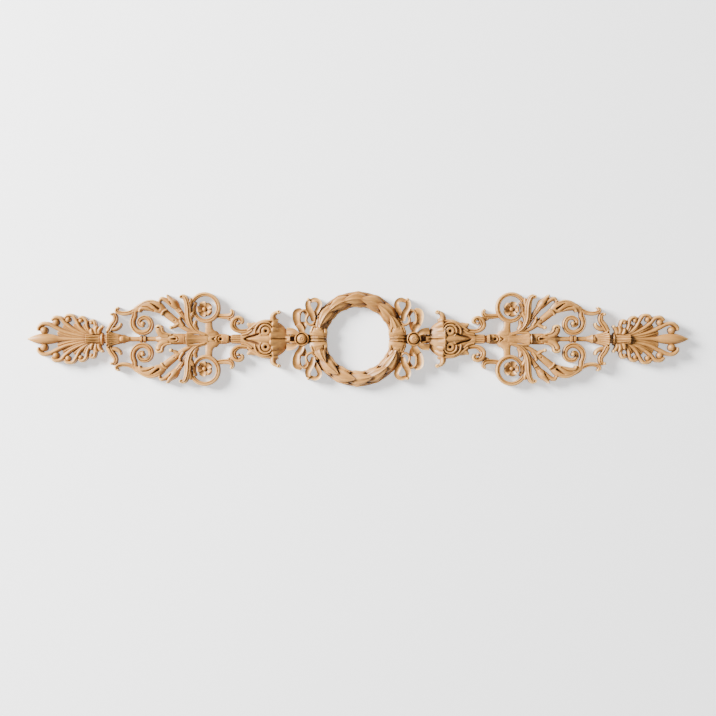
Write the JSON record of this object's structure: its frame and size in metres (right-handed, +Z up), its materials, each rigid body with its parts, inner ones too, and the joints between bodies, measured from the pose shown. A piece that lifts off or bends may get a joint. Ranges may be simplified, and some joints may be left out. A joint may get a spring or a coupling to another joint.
{
  "type": "carved wall insert",
  "caption": "long pierced wood carving for a wall or panel: a leaf wreath in the middle and a wing of bow, shell capital, scrolls and palmette each way, flat at the back",
  "frame": {"origin": "on the flat back, at the middle of the wreath's top edge, where the carving is fixed to its wall or panel", "axes": "X along the carving's length, +Z up, +Y out of the flat back into the wall; the carved face looks along -Y"},
  "size_m": [0.9911, 0.0215, 0.1441],
  "materials": {
    "wood": "smooth-sanded pale golden carving wood, unvarnished, satin"
  },
  "bodies": {
    "root": {"carved_insert": "wood"}
  },
  "joints": []
}
